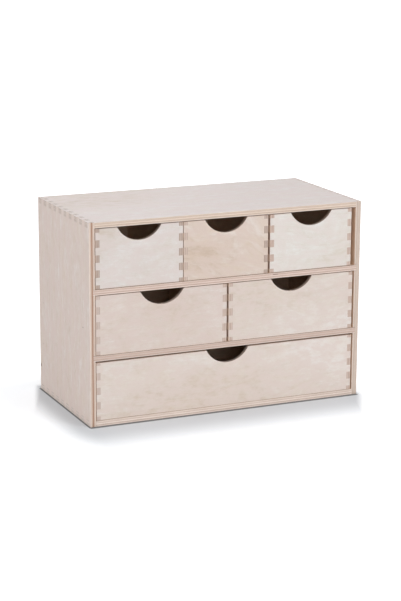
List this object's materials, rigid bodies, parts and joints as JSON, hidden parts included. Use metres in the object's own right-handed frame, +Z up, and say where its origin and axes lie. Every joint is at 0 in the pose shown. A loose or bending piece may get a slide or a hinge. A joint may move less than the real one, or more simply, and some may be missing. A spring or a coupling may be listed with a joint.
{
  "type": "desktop mini drawers",
  "caption": "Low birch plywood chest for a desk, with rows of small open-topped drawers that slide in a finger-jointed case and are pulled by round thumb notches.",
  "frame": {"origin": "on the underside of the case, at the middle of its width and depth, which is the point of the desk under its centre", "axes": "+X to the right along the width, +Y towards the back (the drawers open towards -Y), +Z up"},
  "size_m": [0.4, 0.2, 0.2765],
  "materials": {
    "case_ply": "pale birch plywood, sanded, thin whitewash",
    "front_ply": "pale birch plywood, sanded, thin whitewash",
    "drawer_ply": "raw birch plywood, sanded",
    "thin_ply": "raw thin birch plywood",
    "pin_steel": "dull zinc-plated pin heads"
  },
  "bodies": {
    "case": {"case_top": "case_ply", "case_bottom": "case_ply", "case_side_left": "case_ply", "case_side_right": "case_ply", "shelf_upper": "case_ply", "shelf_lower": "case_ply", "back_panel": "thin_ply", "back_pins": "pin_steel"},
    "drawer_top_left": {"top_left_front": "front_ply", "top_left_back": "drawer_ply", "top_left_side_left": "drawer_ply", "top_left_side_right": "drawer_ply", "top_left_bottom": "thin_ply"},
    "drawer_top_middle": {"top_middle_front": "front_ply", "top_middle_back": "drawer_ply", "top_middle_side_left": "drawer_ply", "top_middle_side_right": "drawer_ply", "top_middle_bottom": "thin_ply"},
    "drawer_top_right": {"top_right_front": "front_ply", "top_right_back": "drawer_ply", "top_right_side_left": "drawer_ply", "top_right_side_right": "drawer_ply", "top_right_bottom": "thin_ply"},
    "drawer_middle_left": {"middle_left_front": "front_ply", "middle_left_back": "drawer_ply", "middle_left_side_left": "drawer_ply", "middle_left_side_right": "drawer_ply", "middle_left_bottom": "thin_ply"},
    "drawer_middle_right": {"middle_right_front": "front_ply", "middle_right_back": "drawer_ply", "middle_right_side_left": "drawer_ply", "middle_right_side_right": "drawer_ply", "middle_right_bottom": "thin_ply"},
    "drawer_bottom_wide": {"bottom_wide_front": "front_ply", "bottom_wide_back": "drawer_ply", "bottom_wide_side_left": "drawer_ply", "bottom_wide_side_right": "drawer_ply", "bottom_wide_bottom": "thin_ply"}
  },
  "joints": [
    {"name": "top_left_slide", "type": "slide", "parent": "case", "child": "drawer_top_left", "axis": [0, -1, 0], "range_m": [0, 0.16]},
    {"name": "top_middle_slide", "type": "slide", "parent": "case", "child": "drawer_top_middle", "axis": [0, -1, 0], "range_m": [0, 0.16]},
    {"name": "top_right_slide", "type": "slide", "parent": "case", "child": "drawer_top_right", "axis": [0, -1, 0], "range_m": [0, 0.16]},
    {"name": "middle_left_slide", "type": "slide", "parent": "case", "child": "drawer_middle_left", "axis": [0, -1, 0], "range_m": [0, 0.16]},
    {"name": "middle_right_slide", "type": "slide", "parent": "case", "child": "drawer_middle_right", "axis": [0, -1, 0], "range_m": [0, 0.16]},
    {"name": "bottom_wide_slide", "type": "slide", "parent": "case", "child": "drawer_bottom_wide", "axis": [0, -1, 0], "range_m": [0, 0.16]}
  ]
}
